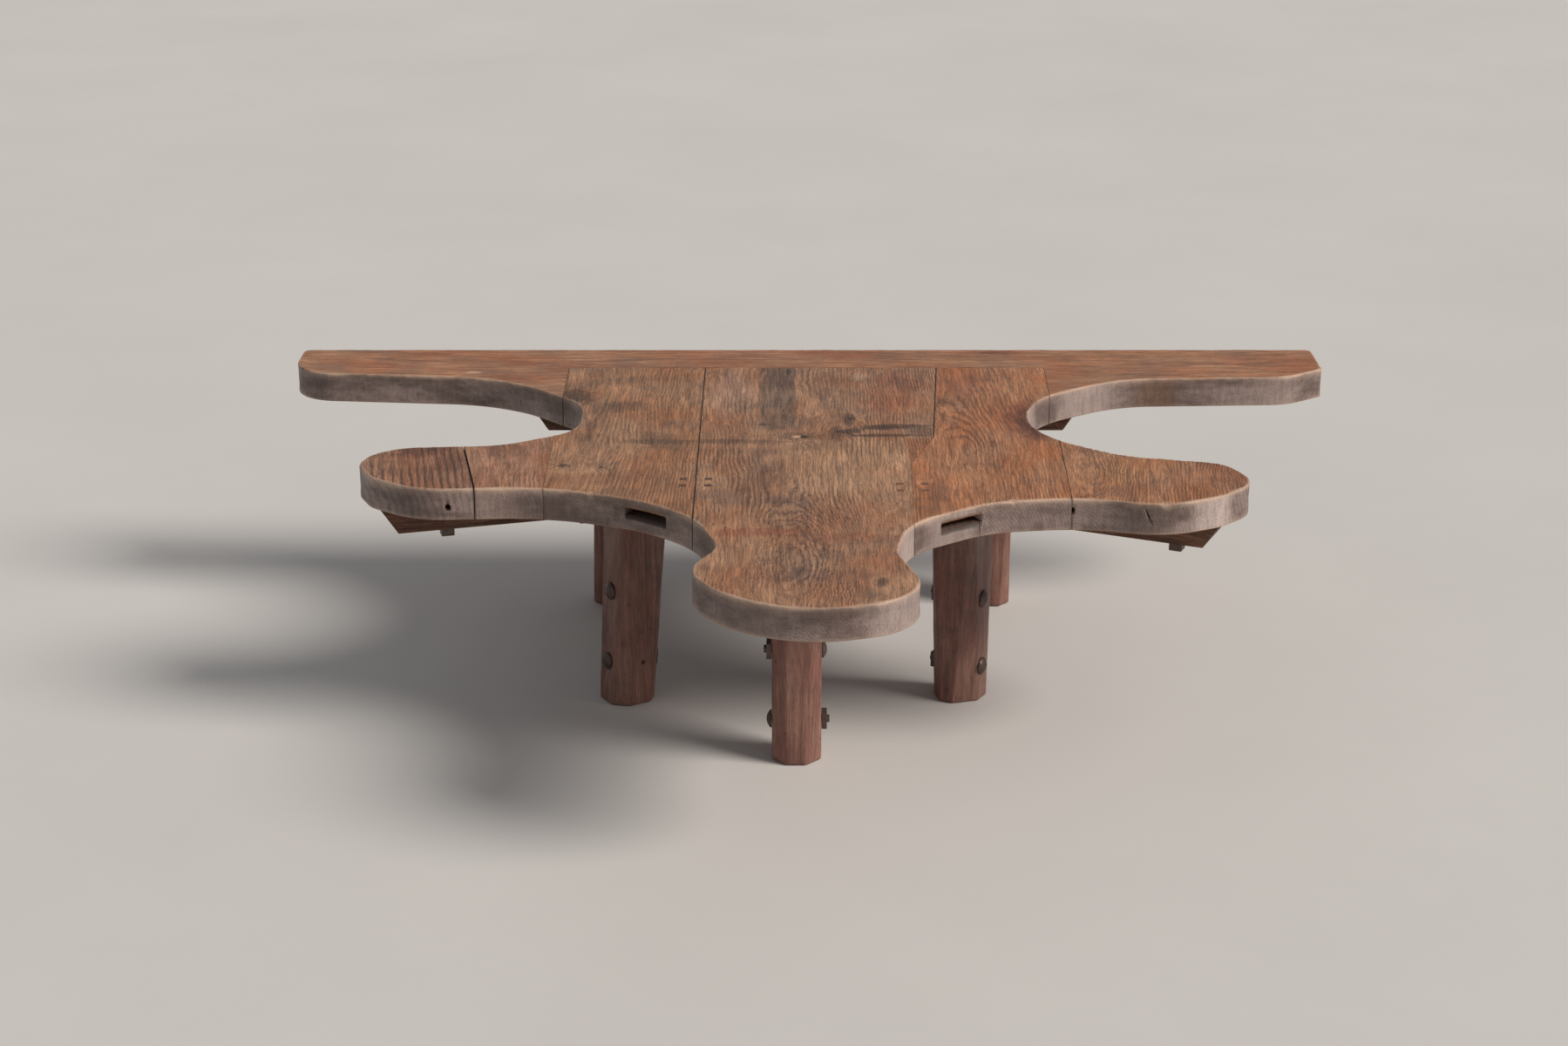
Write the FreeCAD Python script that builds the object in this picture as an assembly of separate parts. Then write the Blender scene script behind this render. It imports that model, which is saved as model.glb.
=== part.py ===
import FreeCAD, Part
import math
import os

os.makedirs("parts", exist_ok=True)

# Low table with a heavy five-lobed slab of edge-joined boards, scalloped by four
# sitting places, on three bevelled battens and five short chamfered post legs.
# Origin: centre of the footprint on the floor, +X along the straight back edge,
# +Y towards the straight back edge, +Z up.

# Overall size
TABLE_WIDTH = 1756.0
TABLE_DEPTH = 1262.0
TABLE_HEIGHT = 415.0
SLAB_THICKNESS = 50.0

# Boards of the slab
PLANK_WIDTH = 112.0
SEAM_GAP = 0.3
OPEN_SEAM_GAP = 1.4

# Battens under the slab
BATTEN_WIDTH = 95.0
BATTEN_DEPTH = 40.0
BATTEN_BEVEL = 26.0

# Legs
LEG_SIDE = 76.0
TENON_SIDE = 38.0
TENON_LENGTH = 32.0
TENON_CLEARANCE = 0.25

# Iron bolts through the legs
BOLT_DIAMETER = 12.0
BOLT_HEAD_DIAMETER = 28.0
BOLT_HEAD_HEIGHT = 8.0
BOLT_HEAD_RIM = 2.0
BOLT_TIP = 4.0
NUT_SIDE = 25.0
NUT_THICKNESS = 8.0
BOLT_CLEARANCE = 0.25

# Forged square spikes that hold the battens
SPIKE_SIDE = 10.0
SPIKE_HEAD_SIDE = 20.0
SPIKE_HEAD_HEIGHT = 12.0
SPIKE_BITE = 32.0
SPIKE_INSET = 12.0
SPIKE_CLEARANCE = 0.25

# Loose tongues across two seams, each held by two square pegs per board
TONGUE_REACH = 36.0
TONGUE_WIDTH = 62.0
TONGUE_THICKNESS = 12.0
TONGUE_CLEARANCE = 0.25
PEG_SIDE = 11.0
PEG_LENGTH = 36.0
PEG_OFFSET = 19.0
PEG_SPACING = 31.0
PEG_CLEARANCE = 0.1

# Flat mortises for work pegs in the edges of the two front cut-outs
MORTISE_LENGTH = 78.0
MORTISE_HEIGHT = 12.0
MORTISE_DEPTH = 50.0
MORTISE_COVER = 15.0

# Old bored holes in the edge
HOLE_DIAMETER = 9.0
HOLE_DEPTH = 35.0

# How far a cutting shape runs past the face it opens
OVERRUN = 12.0

# Straight stretches of the outline shorter than this are left out
SHORTEST_STRAIGHT = 0.001

# Corners of the slab outline, counter-clockwise from the back left as seen from
# above: x share of half the width, y share of half the depth, and the turning
# radius as a share of half the depth.
OUTLINE_SHARES = (
    # left back lobe
    (-1.000, 1.000, 0.02),
    (-1.000, 0.780, 0.12),
    (-0.578, 0.724, 0.41),
    # left side cut-out
    (-0.422, 0.478, 0.17),
    (-0.422, 0.254, 0.15),
    (-0.554, 0.134, 0.28),
    # left side lobe
    (-0.744, 0.118, 0.15),
    (-0.805, 0.009, 0.11),
    (-0.766, -0.116, 0.10),
    (-0.678, -0.212, 0.20),
    # left front cut-out
    (-0.457, -0.192, 0.54),
    (-0.284, -0.290, 0.41),
    (-0.197, -0.418, 0.30),
    (-0.153, -0.609, 0.13),
    # front lobe
    (-0.206, -0.767, 0.14),
    (-0.137, -0.936, 0.28),
    (-0.005, -1.018, 0.25),
    (0.130, -0.955, 0.16),
    (0.174, -0.851, 0.14),
    # right front cut-out
    (0.137, -0.641, 0.10),
    (0.158, -0.456, 0.23),
    (0.301, -0.302, 0.28),
    (0.452, -0.271, 0.39),
    # right side lobe
    (0.601, -0.326, 0.20),
    (0.697, -0.260, 0.17),
    (0.771, -0.156, 0.11),
    (0.735, -0.023, 0.08),
    (0.692, 0.005, 0.12),
    # right side cut-out
    (0.555, 0.050, 0.30),
    (0.406, 0.223, 0.28),
    (0.404, 0.517, 0.28),
    (0.594, 0.713, 0.32),
    # right back lobe
    (0.924, 0.733, 0.16),
    (1.000, 0.813, 0.02),
    (1.000, 1.000, 0.02),
)

# Seams that run front to back: places along each, as shares of half the width
# and half the depth, from past the plank to past the front tip.
OUTER_LEFT_SHARES = ((-0.655, 0.40), (-0.553, -0.40))
LEFT_SHARES = ((-0.466, 1.10), (-0.457, -1.10))
MIDDLE_LEFT_SHARES = ((-0.200, 1.10), (-0.199, -1.10))
MIDDLE_RIGHT_SHARES = ((0.261, 1.10), (0.223, 0.20), (0.178, -0.01), (0.169, -0.40), (0.172, -1.10))
RIGHT_SHARES = ((0.463, 1.10), (0.429, -1.10))

# The side cut-outs part the back wings from the side lobes at this y share
WING_SPLIT_SHARE = 0.36

# Battens: x and y shares of the outer and the inner end of the centre line on the
# underside, whether the inner end is bevelled too, and the spikes as pairs of
# share along the batten and side (-1 front, 1 back).
BATTENS = {
    "batten_front_left": ((-0.733, -0.052), (-0.034, 0.225), False,
                          ((0.12, -1), (0.30, 1), (0.46, -1), (0.71, 1), (0.90, -1))),
    "batten_front_right": ((0.694, -0.158), (0.051, 0.233), False,
                           ((0.07, -1), (0.26, 1), (0.50, -1), (0.88, 1))),
    "batten_rear": ((-0.502, 0.781), (0.492, 0.781), True,
                    ((0.06, 1), (0.22, -1), (0.38, 1), (0.50, -1), (0.64, 1), (0.80, -1), (0.94, 1))),
}

# Legs: x and y shares of the top centre, x and y shares that the foot stands out
# from it, turn about the vertical in degrees, the piece that takes the tenon, and
# the bolts as pairs of share of the table height and head side.
LEGS = {
    "leg_front": ((-0.025, -0.288), (0.0, 0.0), 0.0, "board_centre", ((0.152, -1), (0.427, 1))),
    "leg_mid_left": ((-0.313, 0.098), (-0.021, -0.016), 31.0, "batten_front_left",
                     ((0.164, -1), (0.446, -1))),
    "leg_mid_right": ((0.274, 0.095), (0.0, 0.0), -28.0, "batten_front_right",
                      ((0.142, 1), (0.417, 1))),
    "leg_rear_left": ((-0.374, 0.792), (-0.007, 0.0), 0.0, "batten_rear", ()),
    "leg_rear_right": ((0.356, 0.788), (0.0, 0.0), 0.0, "batten_rear", ()),
}

# Chamfers of the legs, around from the front left corner, as shares of the side of
# the leg: the four at the foot and the four at the top. Most run out upwards.
LEG_CHAMFER_SHARES = {
    "leg_front": ((0.29, 0.31, 0.30, 0.30), (0.26, 0.04, 0.04, 0.04)),
    "leg_mid_left": ((0.30, 0.21, 0.21, 0.22), (0.03, 0.03, 0.03, 0.03)),
    "leg_mid_right": ((0.30, 0.43, 0.21, 0.25), (0.03, 0.05, 0.03, 0.03)),
    "leg_rear_left": ((0.24, 0.24, 0.24, 0.24), (0.03, 0.03, 0.03, 0.03)),
    "leg_rear_right": ((0.24, 0.24, 0.24, 0.24), (0.03, 0.03, 0.03, 0.03)),
}

# Mortises: x and y shares of the middle of the mouth, and the way in, in degrees
MORTISE_PLACES = (
    ((-0.286, -0.320), 61.0),
    ((0.251, -0.354), 120.0),
)

# Old holes: x and y shares of the mouth, share of the thickness below the top,
# and the way in, in degrees
HOLE_PLACES = (
    ((-0.624, -0.220), 0.58, 90.0),
    ((0.442, -0.284), 0.36, 90.0),
    ((0.458, 0.544), 0.24, 143.0),
)

# Tongues: y share of the middle, on the two seams beside the centre board
TONGUE_LEFT_SHARE = -0.155
TONGUE_RIGHT_SHARE = -0.192

HALF_WIDTH = TABLE_WIDTH / 2
HALF_DEPTH = TABLE_DEPTH / 2
UNDERSIDE = TABLE_HEIGHT - SLAB_THICKNESS
BATTEN_BOTTOM = UNDERSIDE - BATTEN_DEPTH
PLANK_SEAM = HALF_DEPTH - PLANK_WIDTH
UP = FreeCAD.Vector(0, 0, 1)


def place(shares, height=0.0):
    """Point at the given shares of half the width and half the depth."""
    return FreeCAD.Vector(shares[0] * HALF_WIDTH, shares[1] * HALF_DEPTH, height)


def flat_face(points):
    """Flat face on a closed polygon."""
    return Part.Face(Part.makePolygon(points + points[:1]))


def prism(points, bottom, top):
    """Upright solid on a closed polygon."""
    base = [FreeCAD.Vector(p.x, p.y, bottom) for p in points]
    return flat_face(base).extrude(UP * (top - bottom))


def centred_box(length, width, height):
    """Box centred on the origin in all three directions."""
    box = Part.makeBox(length, width, height)
    box.translate(FreeCAD.Vector(-length / 2, -width / 2, -height / 2))
    return box


def set_down(shape, point, turn=0.0):
    """Copy of a shape turned about the vertical and moved to a point."""
    moved = shape.copy()
    moved.rotate(FreeCAD.Vector(), UP, turn)
    moved.translate(point)
    return moved


# Slab outline
def rounded_wire(corners, radii):
    """Closed wire along the corners, each turned by an arc tangent to both sides.

    Two arcs that share a side divide it in the ratio of their reaches where it is
    too short for both, so the wire stays smooth in any proportions.
    """
    count = len(corners)
    sides = [corners[(i + 1) % count] - corners[i] for i in range(count)]
    halves = [(sides[i - 1] * -1).getAngle(sides[i]) / 2 for i in range(count)]
    reaches = [radius / math.tan(half) for radius, half in zip(radii, halves)]
    edges = []
    ends = []
    for i in range(count):
        here = corners[i]
        room_back = sides[i - 1].Length / (reaches[i - 1] + reaches[i])
        room_ahead = sides[i].Length / (reaches[i] + reaches[(i + 1) % count])
        reach = reaches[i] * min(1, room_back, room_ahead)
        radius = reach * math.tan(halves[i])
        back = (corners[i - 1] - here).normalize()
        ahead = (corners[(i + 1) % count] - here).normalize()
        middle = (back + ahead).normalize()
        crown = here + middle * (radius / math.sin(halves[i]) - radius)
        start = here + back * reach
        end = here + ahead * reach
        edges.append(Part.Arc(start, crown, end).toShape())
        ends.append((start, end))
    for i in range(count):
        gap = ends[i][0] - ends[i - 1][1]
        if gap.Length > SHORTEST_STRAIGHT:
            edges.append(Part.makeLine(ends[i - 1][1], ends[i][0]))
    return Part.Wire(Part.__sortEdges__(edges))


outline_corners = [place(row) for row in OUTLINE_SHARES]
outline_radii = [row[2] * HALF_DEPTH for row in OUTLINE_SHARES]
outline = rounded_wire(outline_corners, outline_radii)
outline.translate(UP * UNDERSIDE)
slab = Part.Face(outline).extrude(UP * SLAB_THICKNESS)


# Boards of the slab
def seam_side(shares, gap, side):
    """Places along a seam, moved half the gap towards the given side."""
    shift = FreeCAD.Vector(side * gap / 2, 0, 0)
    return [place(row) + shift for row in shares]


def board(left, right, front, back):
    """Part of the slab between two seam sides and two depths."""
    cell = prism(left + right[::-1], UNDERSIDE - OVERRUN, TABLE_HEIGHT + OVERRUN)
    band = centred_box(TABLE_WIDTH + OVERRUN, back - front, TABLE_HEIGHT * 2)
    band.translate(FreeCAD.Vector(0, (front + back) / 2, UNDERSIDE))
    return slab.common(cell).common(band)


far_left = [FreeCAD.Vector(-TABLE_WIDTH, y, 0) for y in (TABLE_DEPTH, -TABLE_DEPTH)]
far_right = [FreeCAD.Vector(TABLE_WIDTH, y, 0) for y in (TABLE_DEPTH, -TABLE_DEPTH)]
front_end = -HALF_DEPTH - OVERRUN
back_end = HALF_DEPTH + OVERRUN
wing_split = WING_SPLIT_SHARE * HALF_DEPTH
plank_front = PLANK_SEAM + SEAM_GAP / 2
boards_back = PLANK_SEAM - SEAM_GAP / 2

left_of = {}
right_of = {}
for name, shares, gap in (
    ("outer_left", OUTER_LEFT_SHARES, OPEN_SEAM_GAP),
    ("left", LEFT_SHARES, SEAM_GAP),
    ("middle_left", MIDDLE_LEFT_SHARES, SEAM_GAP),
    ("middle_right", MIDDLE_RIGHT_SHARES, SEAM_GAP),
    ("right", RIGHT_SHARES, SEAM_GAP),
):
    left_of[name] = seam_side(shares, gap, -1)
    right_of[name] = seam_side(shares, gap, 1)

pieces = {
    "back_plank": board(far_left, far_right, plank_front, back_end),
    "wing_left": board(far_left, left_of["left"], wing_split, boards_back),
    "board_left_outer": board(far_left, left_of["outer_left"], front_end, wing_split),
    "board_left_lobe": board(right_of["outer_left"], left_of["left"], front_end, wing_split),
    "board_left": board(right_of["left"], left_of["middle_left"], front_end, boards_back),
    "board_centre": board(right_of["middle_left"], left_of["middle_right"], front_end, boards_back),
    "board_right": board(right_of["middle_right"], left_of["right"], front_end, boards_back),
    "board_right_outer": board(right_of["right"], far_right, front_end, wing_split),
    "wing_right": board(right_of["right"], far_right, wing_split, boards_back),
}
board_names = list(pieces)


# Battens with bevelled ends
def batten(outer, inner, both_bevelled):
    """Bar whose wide face lies against the slab, its outer end bevelled to the top."""
    run = inner - outer
    inner_top = run.Length + (BATTEN_BEVEL if both_bevelled else 0.0)
    profile = [
        FreeCAD.Vector(0, 0, 0),
        FreeCAD.Vector(run.Length, 0, 0),
        FreeCAD.Vector(inner_top, 0, BATTEN_DEPTH),
        FreeCAD.Vector(-BATTEN_BEVEL, 0, BATTEN_DEPTH),
    ]
    bar = flat_face(profile).extrude(FreeCAD.Vector(0, BATTEN_WIDTH, 0))
    bar.translate(FreeCAD.Vector(0, -BATTEN_WIDTH / 2, 0))
    return set_down(bar, outer, math.degrees(math.atan2(run.y, run.x)))


spike_places = []
for name, (outer_shares, inner_shares, both_bevelled, spikes) in BATTENS.items():
    outer = place(outer_shares, BATTEN_BOTTOM)
    inner = place(inner_shares, BATTEN_BOTTOM)
    pieces[name] = batten(outer, inner, both_bevelled)
    along = (inner - outer).normalize()
    across = UP.cross(along)
    if across.y < 0:
        across = across * -1
    turn = math.degrees(math.atan2(along.y, along.x))
    for share, side in spikes:
        centre_line = outer + (inner - outer) * share
        spike_places.append((centre_line + across * (side * (BATTEN_WIDTH / 2 - SPIKE_INSET)), turn))


# Spikes
def shank(clearance):
    """Square bar from the plane z = 0 up through the batten into the slab."""
    side = SPIKE_SIDE + clearance * 2
    length = BATTEN_DEPTH + SPIKE_BITE + clearance
    bar = centred_box(side, side, length)
    bar.translate(UP * (length / 2))
    return bar


def spike():
    """Square-headed spike pointing up, its head under the plane z = 0."""
    head = centred_box(SPIKE_HEAD_SIDE, SPIKE_HEAD_SIDE, SPIKE_HEAD_HEIGHT)
    head.translate(UP * (-SPIKE_HEAD_HEIGHT / 2))
    return head.fuse(shank(0.0)).removeSplitter()


spikes = [set_down(spike(), point, turn) for point, turn in spike_places]
spike_seats = [set_down(shank(SPIKE_CLEARANCE), point, turn) for point, turn in spike_places]


# Legs
def octagon(chamfer_shares, height):
    """Corners of a leg's section: a square whose four corners are cut, from the front left."""
    half = LEG_SIDE / 2
    front_left, front_right, back_right, back_left = [share * LEG_SIDE for share in chamfer_shares]
    around = [
        (-half, front_left - half), (front_left - half, -half),
        (half - front_right, -half), (half, front_right - half),
        (half, half - back_right), (half - back_right, half),
        (back_left - half, half), (-half, half - back_left),
    ]
    return [FreeCAD.Vector(x, y, height) for x, y in around]


def post(chamfers, shoulder):
    """Leg without its tenon, longer than needed at both ends, with eight flat sides."""
    foot_shares, top_shares = chamfers
    foot = octagon(foot_shares, -OVERRUN)
    top = octagon(top_shares, shoulder + OVERRUN)
    faces = [flat_face(foot), flat_face(top)]
    for i in range(len(foot)):
        faces.append(flat_face([foot[i - 1], foot[i], top[i], top[i - 1]]))
    return Part.Solid(Part.Shell(faces))


def tenon(shoulder):
    """Square tenon on top of a leg."""
    block = centred_box(TENON_SIDE, TENON_SIDE, TENON_LENGTH)
    block.translate(UP * (shoulder + TENON_LENGTH / 2))
    return block


def leaned(shape, top, lean, height):
    """Copy of a shape tilted about the top point until the foot has moved by the lean."""
    tilted = shape.copy()
    if lean.Length > 0:
        axis = FreeCAD.Vector(lean.y, -lean.x, 0)
        tilted.rotate(top, axis, math.degrees(math.atan(lean.Length / height)))
    return tilted


def tenon_seat(shoulder):
    """Square hole that takes the tenon with clearance."""
    side = TENON_SIDE + TENON_CLEARANCE * 2
    seat = centred_box(side, side, TENON_LENGTH + TENON_CLEARANCE + OVERRUN)
    seat.translate(UP * (shoulder + (TENON_LENGTH + TENON_CLEARANCE - OVERRUN) / 2))
    return seat


# Bolts lie along +X of the leg with the head outside its +X face
def bolt():
    """Dome-headed bolt through a leg and a nut."""
    face_at = LEG_SIDE / 2
    radius = BOLT_HEAD_DIAMETER / 2
    rim = FreeCAD.Vector(face_at + BOLT_HEAD_RIM, radius, 0)
    crown = FreeCAD.Vector(face_at + BOLT_HEAD_HEIGHT, 0, 0)
    dome_height = BOLT_HEAD_HEIGHT - BOLT_HEAD_RIM
    dome_radius = (radius ** 2 + dome_height ** 2) / (2 * dome_height)
    half_angle = math.asin(radius / dome_radius) / 2
    between = FreeCAD.Vector(
        crown.x - dome_radius * (1 - math.cos(half_angle)), dome_radius * math.sin(half_angle), 0)
    seat_edge = FreeCAD.Vector(face_at, radius, 0)
    seat_centre = FreeCAD.Vector(face_at, 0, 0)
    outline_edges = [
        Part.makeLine(seat_centre, seat_edge),
        Part.makeLine(seat_edge, rim),
        Part.Arc(rim, between, crown).toShape(),
        Part.makeLine(crown, seat_centre),
    ]
    head = Part.Face(Part.Wire(outline_edges)).revolve(FreeCAD.Vector(), FreeCAD.Vector(1, 0, 0), 360)
    length = LEG_SIDE + NUT_THICKNESS + BOLT_TIP
    shank = Part.makeCylinder(BOLT_DIAMETER / 2, length, seat_centre, FreeCAD.Vector(-1, 0, 0))
    return head.fuse(shank).removeSplitter()


def nut():
    """Square nut against the -X face of the leg."""
    body = centred_box(NUT_THICKNESS, NUT_SIDE, NUT_SIDE)
    body.translate(FreeCAD.Vector(-(LEG_SIDE + NUT_THICKNESS) / 2, 0, 0))
    return body.cut(bolt_bore())


def bolt_bore():
    """Hole along the bolt."""
    length = LEG_SIDE * 2
    return Part.makeCylinder(
        BOLT_DIAMETER / 2 + BOLT_CLEARANCE, length, FreeCAD.Vector(-length / 2, 0, 0), FreeCAD.Vector(1, 0, 0))


leg_bolts = []
leg_nuts = []
for name, (top_shares, lean_shares, turn, carrier, bolts) in LEGS.items():
    shoulder = UNDERSIDE if carrier in board_names else BATTEN_BOTTOM
    centre = place(top_shares)
    top = place(top_shares, shoulder)
    lean = place(lean_shares)
    leg = leaned(set_down(post(LEG_CHAMFER_SHARES[name], shoulder), centre, turn), top, lean, shoulder)
    room = Part.makeBox(TABLE_WIDTH, TABLE_DEPTH, shoulder)
    room.translate(FreeCAD.Vector(-HALF_WIDTH, -HALF_DEPTH, 0))
    leg = leg.common(room).fuse(set_down(tenon(shoulder), centre, turn)).removeSplitter()
    pieces[carrier] = pieces[carrier].cut(set_down(tenon_seat(shoulder), centre, turn))
    for height_share, side in bolts:
        at = centre + UP * (height_share * TABLE_HEIGHT)
        bolt_turn = turn if side > 0 else turn + 180
        leg = leg.cut(leaned(set_down(bolt_bore(), at, bolt_turn), top, lean, shoulder))
        leg_bolts.append(leaned(set_down(bolt(), at, bolt_turn), top, lean, shoulder))
        leg_nuts.append(leaned(set_down(nut(), at, bolt_turn), top, lean, shoulder))
    pieces[name] = leg


# Loose tongues and their pegs
def seam_x(shares, y):
    """x of a seam at a depth."""
    points = [place(row) for row in shares]
    for upper, lower in zip(points, points[1:]):
        if lower.y <= y <= upper.y:
            return upper.x + (lower.x - upper.x) * (upper.y - y) / (upper.y - lower.y)


def tongue_block(clearance):
    """Flat block centred on the seam at mid thickness."""
    block = centred_box(
        (TONGUE_REACH + clearance) * 2, TONGUE_WIDTH + clearance * 2, TONGUE_THICKNESS + clearance * 2)
    block.translate(UP * (UNDERSIDE + SLAB_THICKNESS / 2))
    return block


def peg(clearance):
    """Upright square pin from the top face down through the tongue."""
    side = PEG_SIDE + clearance * 2
    length = PEG_LENGTH + clearance
    pin = centred_box(side, side, length)
    pin.translate(UP * (TABLE_HEIGHT - length / 2))
    return pin


tongues = []
pegs = []
tongue_slots = []
peg_bores = []
for seam, share in ((MIDDLE_LEFT_SHARES, TONGUE_LEFT_SHARE), (MIDDLE_RIGHT_SHARES, TONGUE_RIGHT_SHARE)):
    y = share * HALF_DEPTH
    centre = FreeCAD.Vector(seam_x(seam, y), y, 0)
    tongue = set_down(tongue_block(0.0), centre)
    tongue_slots.append(set_down(tongue_block(TONGUE_CLEARANCE), centre))
    for side in (-1, 1):
        for end in (-1, 1):
            at = centre + FreeCAD.Vector(side * PEG_OFFSET, end * PEG_SPACING / 2, 0)
            pegs.append(set_down(peg(0.0), at))
            peg_bores.append(set_down(peg(PEG_CLEARANCE), at))
            tongue = tongue.cut(peg_bores[-1])
    tongues.append(tongue)


# Mortises and old holes in the edge
edge_cuts = []
for shares, way_in in MORTISE_PLACES:
    slot = Part.makeBox(MORTISE_DEPTH + OVERRUN, MORTISE_LENGTH, MORTISE_HEIGHT)
    slot.translate(FreeCAD.Vector(-OVERRUN, -MORTISE_LENGTH / 2, 0))
    edge_cuts.append(set_down(slot, place(shares, TABLE_HEIGHT - MORTISE_COVER - MORTISE_HEIGHT), way_in))
for shares, share_down, way_in in HOLE_PLACES:
    bore = Part.makeCylinder(
        HOLE_DIAMETER / 2, HOLE_DEPTH + OVERRUN, FreeCAD.Vector(-OVERRUN, 0, 0), FreeCAD.Vector(1, 0, 0))
    edge_cuts.append(set_down(bore, place(shares, TABLE_HEIGHT - SLAB_THICKNESS * share_down), way_in))

# Cut the seats of spikes, tongues and pegs, the mortises and the holes
for name in board_names:
    pieces[name] = pieces[name].cut(edge_cuts + tongue_slots + peg_bores + spike_seats)
for name in BATTENS:
    pieces[name] = pieces[name].cut(spike_seats)

pieces["leg_bolts"] = Part.makeCompound(leg_bolts)
pieces["leg_nuts"] = Part.makeCompound(leg_nuts)
pieces["batten_spikes"] = Part.makeCompound(spikes)
pieces["loose_tongues"] = Part.makeCompound(tongues)
pieces["tongue_pegs"] = Part.makeCompound(pegs)

for name, shape in pieces.items():
    shape.exportStep("parts/" + name + ".step")
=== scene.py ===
import bpy
import bmesh
import math
import numpy as np
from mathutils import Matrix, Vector


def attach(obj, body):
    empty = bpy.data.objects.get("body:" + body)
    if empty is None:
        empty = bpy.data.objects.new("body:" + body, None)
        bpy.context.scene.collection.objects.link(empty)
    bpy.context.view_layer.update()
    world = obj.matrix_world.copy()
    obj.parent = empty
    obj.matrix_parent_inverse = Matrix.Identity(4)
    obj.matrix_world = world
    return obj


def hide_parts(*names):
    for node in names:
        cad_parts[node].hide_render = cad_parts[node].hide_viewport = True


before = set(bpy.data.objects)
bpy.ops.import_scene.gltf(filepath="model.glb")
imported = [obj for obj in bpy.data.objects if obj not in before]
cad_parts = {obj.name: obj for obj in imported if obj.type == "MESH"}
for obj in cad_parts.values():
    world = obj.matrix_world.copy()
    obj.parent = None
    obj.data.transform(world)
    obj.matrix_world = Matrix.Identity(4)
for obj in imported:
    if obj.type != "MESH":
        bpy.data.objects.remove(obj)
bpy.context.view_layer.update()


# Camera, floor and light
# The camera stands beyond the front lobe at eye height and looks down on the table.
# The floor is plain pale plaster. A broad soft light, as of a large window, comes from
# the right and a little from the front, and pale walls all round fill the rest.
SENSOR_WIDTH = 36.0  # millimetres
PICTURE_WIDTH = 1799.0  # pixels, as is the focal length
FOCAL_LENGTH = 3400.0
LOOKING_DOWN = 19.29  # degrees

scene = bpy.context.scene
scene.view_settings.view_transform = "Standard"

eye = bpy.data.objects.new("camera", bpy.data.cameras.new("camera"))
eye.data.sensor_width = SENSOR_WIDTH
eye.data.lens = FOCAL_LENGTH / PICTURE_WIDTH * SENSOR_WIDTH
eye.location = (-0.0412, -4.3521, 1.8383)
eye.rotation_euler = (math.radians(90.0 - LOOKING_DOWN), 0.0, 0.0)
scene.collection.objects.link(eye)
scene.camera = eye


def linear(code):
    """A #RRGGBB colour as linear red, green, blue and alpha."""
    parts = [int(code[i:i + 2], 16) / 255 for i in (1, 3, 5)]
    return [p / 12.92 if p <= 0.04045 else ((p + 0.055) / 1.055) ** 2.4 for p in parts] + [1.0]


def add(tree, kind, inputs, out=0, **settings):
    """Adds a node with its settings, sets or links its inputs, and gives back one output.

    The inputs are a list in the order of the node's sockets, or a table by their names.
    """
    node = tree.nodes.new("ShaderNode" + kind)
    for key, value in settings.items():
        setattr(node, key, value)
    for key, value in inputs.items() if isinstance(inputs, dict) else enumerate(inputs):
        if isinstance(value, bpy.types.NodeSocket):
            tree.links.new(value, node.inputs[key])
        else:
            node.inputs[key].default_value = value
    return node.outputs[out]


window = bpy.data.lights.new("window_light", "SUN")
window.energy = 3.3
window.angle = math.radians(24)
window.color = linear("#FFF8F0")[:3]
window_holder = bpy.data.objects.new("window_light", window)
window_holder.rotation_euler = Vector((-0.93, 0.36, -0.80)).to_track_quat("-Z", "Y").to_euler()
scene.collection.objects.link(window_holder)
world = bpy.data.worlds.new("studio")
world.use_nodes = True
world.node_tree.nodes["Background"].inputs["Color"].default_value = linear("#F2F4F7")
world.node_tree.nodes["Background"].inputs["Strength"].default_value = 0.34
scene.world = world

floor_mesh = bpy.data.meshes.new("floor")
floor_mesh.from_pydata([(-30, -30, 0), (30, -30, 0), (30, 30, 0), (-30, 30, 0)], [], [(0, 1, 2, 3)])
floor = bpy.data.objects.new("floor", floor_mesh)
scene.collection.objects.link(floor)
plaster = bpy.data.materials.new("pale_plaster_floor")
plaster.use_nodes = True
ground = plaster.node_tree
cloud = add(ground, "TexNoise", {"Vector": add(ground, "TexCoord", {}, "Object"), "Scale": 1.3, "Detail": 5.0,
                                 "Roughness": 0.6})
tone = add(ground, "Mix", {"Factor": cloud, "A": linear("#C4C1BE"), "B": linear("#D0CDCA")}, "Result",
           data_type="RGBA")
ground.links.new(tone, ground.nodes["Principled BSDF"].inputs["Base Color"])
ground.nodes["Principled BSDF"].inputs["Roughness"].default_value = 0.8
floor_mesh.materials.append(plaster)


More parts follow.
